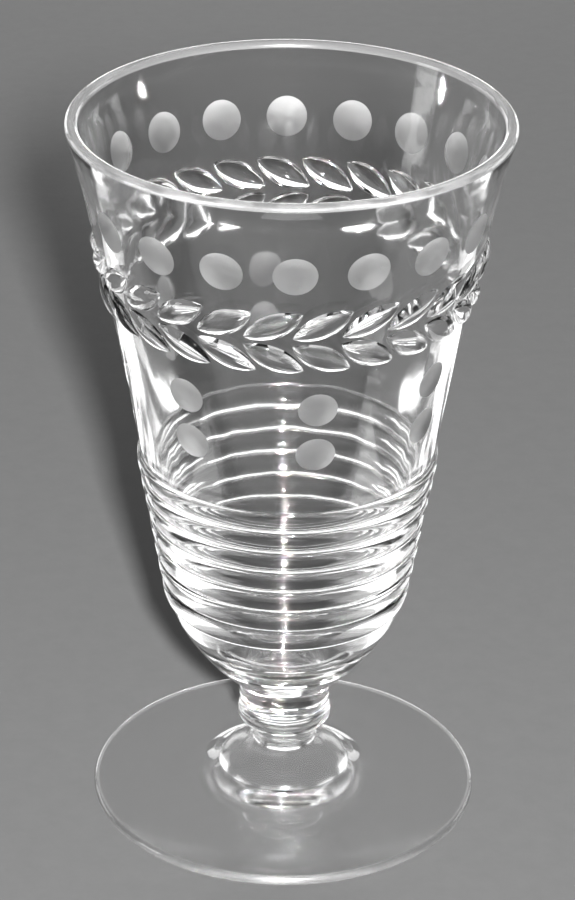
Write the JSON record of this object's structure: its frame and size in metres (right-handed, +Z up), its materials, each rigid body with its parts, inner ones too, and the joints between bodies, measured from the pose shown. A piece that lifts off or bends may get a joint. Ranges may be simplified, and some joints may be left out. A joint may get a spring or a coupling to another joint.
{
  "type": "juice glass",
  "caption": "Clear footed juice glass: flaring bowl with turned rings and cut ornament, on a ring collar, a short waisted stem and a round foot.",
  "frame": {"origin": "on the glass's axis, at the plane that the foot rests on", "axes": "+Z up along the glass's axis to its mouth, -Y towards the side that the picture shows"},
  "size_m": [0.0662, 0.0662, 0.114],
  "materials": {
    "bowl_glass": "polished clear glass, with round cuts left frosted",
    "collar_glass": "polished clear glass",
    "stem_glass": "polished clear glass",
    "foot_glass": "polished clear glass"
  },
  "bodies": {
    "root": {"bowl": "bowl_glass", "collar": "collar_glass", "stem": "stem_glass", "foot": "foot_glass"}
  },
  "joints": []
}
